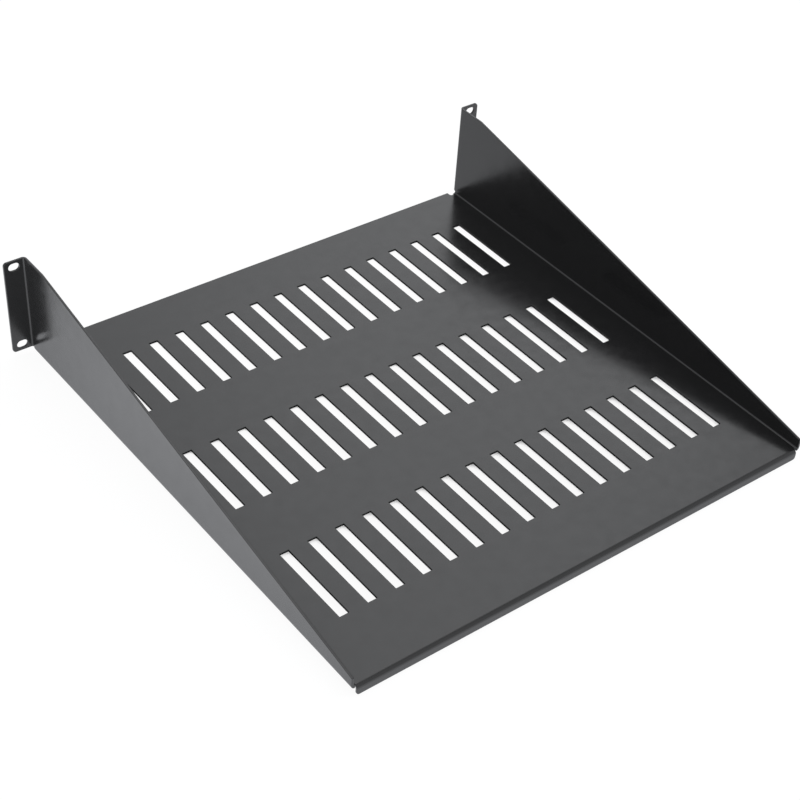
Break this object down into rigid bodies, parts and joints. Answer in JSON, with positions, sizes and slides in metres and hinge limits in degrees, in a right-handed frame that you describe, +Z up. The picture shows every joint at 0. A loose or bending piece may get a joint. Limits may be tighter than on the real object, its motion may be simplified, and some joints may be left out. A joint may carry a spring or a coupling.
{
  "type": "cantilever rack shelf",
  "caption": "Cantilever shelf for an equipment rack: a vented tray between sloping side panels, folded from one steel sheet and bolted to the front rails by slotted ears.",
  "frame": {"origin": "middle of the four screw slots, in the plane of the ears' rear faces, which lie against the rack's rails", "axes": "+X across the rack, +Y from the rails to the back of the shelf, +Z up"},
  "size_m": [0.4826, 0.45, 0.0992],
  "materials": {
    "powder_coat": "semi-gloss black powder coat on folded steel sheet"
  },
  "bodies": {
    "root": {"shelf": "powder_coat"}
  },
  "joints": []
}
